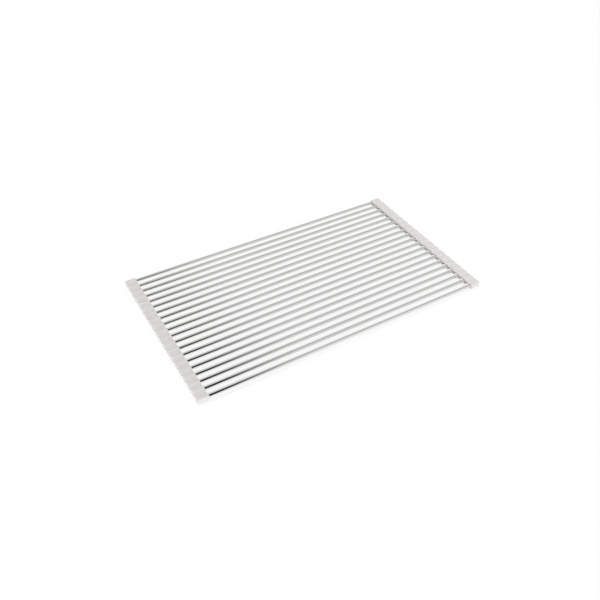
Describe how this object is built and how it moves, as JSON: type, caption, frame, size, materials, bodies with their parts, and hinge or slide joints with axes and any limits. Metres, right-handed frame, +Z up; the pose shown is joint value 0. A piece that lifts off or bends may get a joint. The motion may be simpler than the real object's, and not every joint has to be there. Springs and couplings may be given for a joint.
{
  "type": "roll up dish drying rack",
  "caption": "Flat over-sink drying rack of parallel steel tubes joined by a flexible silicone strip at each end, so that it rolls up.",
  "frame": {"origin": "under the middle of the rack, on the surface that it rests on", "axes": "+X along the tubes to the right, +Y from the front tube to the back one, +Z up"},
  "size_m": [0.528, 0.3, 0.0088],
  "materials": {
    "stainless_steel": "satin, with a fine grain along the tube",
    "grey_silicone": "matte moulded silicone with a slight sheen"
  },
  "bodies": {
    "link_01": {"tube_01": "stainless_steel", "left_cuff_01": "grey_silicone", "right_cuff_01": "grey_silicone"},
    "link_02": {"tube_02": "stainless_steel", "left_cuff_02": "grey_silicone", "right_cuff_02": "grey_silicone"},
    "link_03": {"tube_03": "stainless_steel", "left_cuff_03": "grey_silicone", "right_cuff_03": "grey_silicone"},
    "link_04": {"tube_04": "stainless_steel", "left_cuff_04": "grey_silicone", "right_cuff_04": "grey_silicone"},
    "link_05": {"tube_05": "stainless_steel", "left_cuff_05": "grey_silicone", "right_cuff_05": "grey_silicone"},
    "link_06": {"tube_06": "stainless_steel", "left_cuff_06": "grey_silicone", "right_cuff_06": "grey_silicone"},
    "link_07": {"tube_07": "stainless_steel", "left_cuff_07": "grey_silicone", "right_cuff_07": "grey_silicone"},
    "link_08": {"tube_08": "stainless_steel", "left_cuff_08": "grey_silicone", "right_cuff_08": "grey_silicone"},
    "link_09": {"tube_09": "stainless_steel", "left_cuff_09": "grey_silicone", "right_cuff_09": "grey_silicone"},
    "link_10": {"tube_10": "stainless_steel", "left_cuff_10": "grey_silicone", "right_cuff_10": "grey_silicone"},
    "link_11": {"tube_11": "stainless_steel", "left_cuff_11": "grey_silicone", "right_cuff_11": "grey_silicone"},
    "link_12": {"tube_12": "stainless_steel", "left_cuff_12": "grey_silicone", "right_cuff_12": "grey_silicone"},
    "link_13": {"tube_13": "stainless_steel", "left_cuff_13": "grey_silicone", "right_cuff_13": "grey_silicone"},
    "link_14": {"tube_14": "stainless_steel", "left_cuff_14": "grey_silicone", "right_cuff_14": "grey_silicone"},
    "link_15": {"tube_15": "stainless_steel", "left_cuff_15": "grey_silicone", "right_cuff_15": "grey_silicone"},
    "link_16": {"tube_16": "stainless_steel", "left_cuff_16": "grey_silicone", "right_cuff_16": "grey_silicone"},
    "link_17": {"tube_17": "stainless_steel", "left_cuff_17": "grey_silicone", "right_cuff_17": "grey_silicone"},
    "link_18": {"tube_18": "stainless_steel", "left_cuff_18": "grey_silicone", "right_cuff_18": "grey_silicone"},
    "link_19": {"tube_19": "stainless_steel", "left_cuff_19": "grey_silicone", "right_cuff_19": "grey_silicone"},
    "link_20": {"tube_20": "stainless_steel", "left_cuff_20": "grey_silicone", "right_cuff_20": "grey_silicone"}
  },
  "joints": [
    {"name": "roll_01", "type": "hinge", "parent": "link_02", "child": "link_01", "pos_m": [0, -0.13746, 0.0082], "axis": [-1, 0, 0], "range_deg": [0, 24.65], "stiffness_Nm_per_rad": 0.01},
    {"name": "roll_02", "type": "hinge", "parent": "link_03", "child": "link_02", "pos_m": [0, -0.12219, 0.0082], "axis": [-1, 0, 0], "range_deg": [0, 25.21], "stiffness_Nm_per_rad": 0.01},
    {"name": "roll_03", "type": "hinge", "parent": "link_04", "child": "link_03", "pos_m": [0, -0.10692, 0.0082], "axis": [-1, 0, 0], "range_deg": [0, 25.8], "stiffness_Nm_per_rad": 0.01},
    {"name": "roll_04", "type": "hinge", "parent": "link_05", "child": "link_04", "pos_m": [0, -0.09164, 0.0082], "axis": [-1, 0, 0], "range_deg": [0, 26.44], "stiffness_Nm_per_rad": 0.01},
    {"name": "roll_05", "type": "hinge", "parent": "link_06", "child": "link_05", "pos_m": [0, -0.07637, 0.0082], "axis": [-1, 0, 0], "range_deg": [0, 27.13], "stiffness_Nm_per_rad": 0.01},
    {"name": "roll_06", "type": "hinge", "parent": "link_07", "child": "link_06", "pos_m": [0, -0.06109, 0.0082], "axis": [-1, 0, 0], "range_deg": [0, 27.87], "stiffness_Nm_per_rad": 0.01},
    {"name": "roll_07", "type": "hinge", "parent": "link_08", "child": "link_07", "pos_m": [0, -0.04582, 0.0082], "axis": [-1, 0, 0], "range_deg": [0, 28.68], "stiffness_Nm_per_rad": 0.01},
    {"name": "roll_08", "type": "hinge", "parent": "link_09", "child": "link_08", "pos_m": [0, -0.03055, 0.0082], "axis": [-1, 0, 0], "range_deg": [0, 29.57], "stiffness_Nm_per_rad": 0.01},
    {"name": "roll_09", "type": "hinge", "parent": "link_10", "child": "link_09", "pos_m": [0, -0.01527, 0.0082], "axis": [-1, 0, 0], "range_deg": [0, 30.55], "stiffness_Nm_per_rad": 0.01},
    {"name": "roll_10", "type": "hinge", "parent": "link_11", "child": "link_10", "pos_m": [0, 0, 0.0082], "axis": [-1, 0, 0], "range_deg": [0, 31.63], "stiffness_Nm_per_rad": 0.01},
    {"name": "roll_11", "type": "hinge", "parent": "link_12", "child": "link_11", "pos_m": [0, 0.01527, 0.0082], "axis": [-1, 0, 0], "range_deg": [0, 32.83], "stiffness_Nm_per_rad": 0.01},
    {"name": "roll_12", "type": "hinge", "parent": "link_12", "child": "link_13", "pos_m": [0, 0.03055, 0.0082], "axis": [1, 0, 0], "range_deg": [0, 34.18], "stiffness_Nm_per_rad": 0.01},
    {"name": "roll_13", "type": "hinge", "parent": "link_13", "child": "link_14", "pos_m": [0, 0.04582, 0.0082], "axis": [1, 0, 0], "range_deg": [0, 35.72], "stiffness_Nm_per_rad": 0.01},
    {"name": "roll_14", "type": "hinge", "parent": "link_14", "child": "link_15", "pos_m": [0, 0.06109, 0.0082], "axis": [1, 0, 0], "range_deg": [0, 37.5], "stiffness_Nm_per_rad": 0.01},
    {"name": "roll_15", "type": "hinge", "parent": "link_15", "child": "link_16", "pos_m": [0, 0.07637, 0.0082], "axis": [1, 0, 0], "range_deg": [0, 39.56], "stiffness_Nm_per_rad": 0.01},
    {"name": "roll_16", "type": "hinge", "parent": "link_16", "child": "link_17", "pos_m": [0, 0.09164, 0.0082], "axis": [1, 0, 0], "range_deg": [0, 42.02], "stiffness_Nm_per_rad": 0.01},
    {"name": "roll_17", "type": "hinge", "parent": "link_17", "child": "link_18", "pos_m": [0, 0.10692, 0.0082], "axis": [1, 0, 0], "range_deg": [0, 45.02], "stiffness_Nm_per_rad": 0.01},
    {"name": "roll_18", "type": "hinge", "parent": "link_18", "child": "link_19", "pos_m": [0, 0.12219, 0.0082], "axis": [1, 0, 0], "range_deg": [0, 48.78], "stiffness_Nm_per_rad": 0.01},
    {"name": "roll_19", "type": "hinge", "parent": "link_19", "child": "link_20", "pos_m": [0, 0.13746, 0.0082], "axis": [1, 0, 0], "range_deg": [0, 53.72], "stiffness_Nm_per_rad": 0.01}
  ],
  "couplings": [
    {"joint": "roll_01", "follows": "roll_11", "ratio": 0.7509},
    {"joint": "roll_02", "follows": "roll_11", "ratio": 0.7678},
    {"joint": "roll_03", "follows": "roll_11", "ratio": 0.7859},
    {"joint": "roll_04", "follows": "roll_11", "ratio": 0.8054},
    {"joint": "roll_05", "follows": "roll_11", "ratio": 0.8263},
    {"joint": "roll_06", "follows": "roll_11", "ratio": 0.849},
    {"joint": "roll_07", "follows": "roll_11", "ratio": 0.8737},
    {"joint": "roll_08", "follows": "roll_11", "ratio": 0.9008},
    {"joint": "roll_09", "follows": "roll_11", "ratio": 0.9305},
    {"joint": "roll_10", "follows": "roll_11", "ratio": 0.9633},
    {"joint": "roll_12", "follows": "roll_11", "ratio": 1.0412},
    {"joint": "roll_13", "follows": "roll_11", "ratio": 1.0881},
    {"joint": "roll_14", "follows": "roll_11", "ratio": 1.1421},
    {"joint": "roll_15", "follows": "roll_11", "ratio": 1.205},
    {"joint": "roll_16", "follows": "roll_11", "ratio": 1.2799},
    {"joint": "roll_17", "follows": "roll_11", "ratio": 1.3711},
    {"joint": "roll_18", "follows": "roll_11", "ratio": 1.4858},
    {"joint": "roll_19", "follows": "roll_11", "ratio": 1.6362}
  ]
}
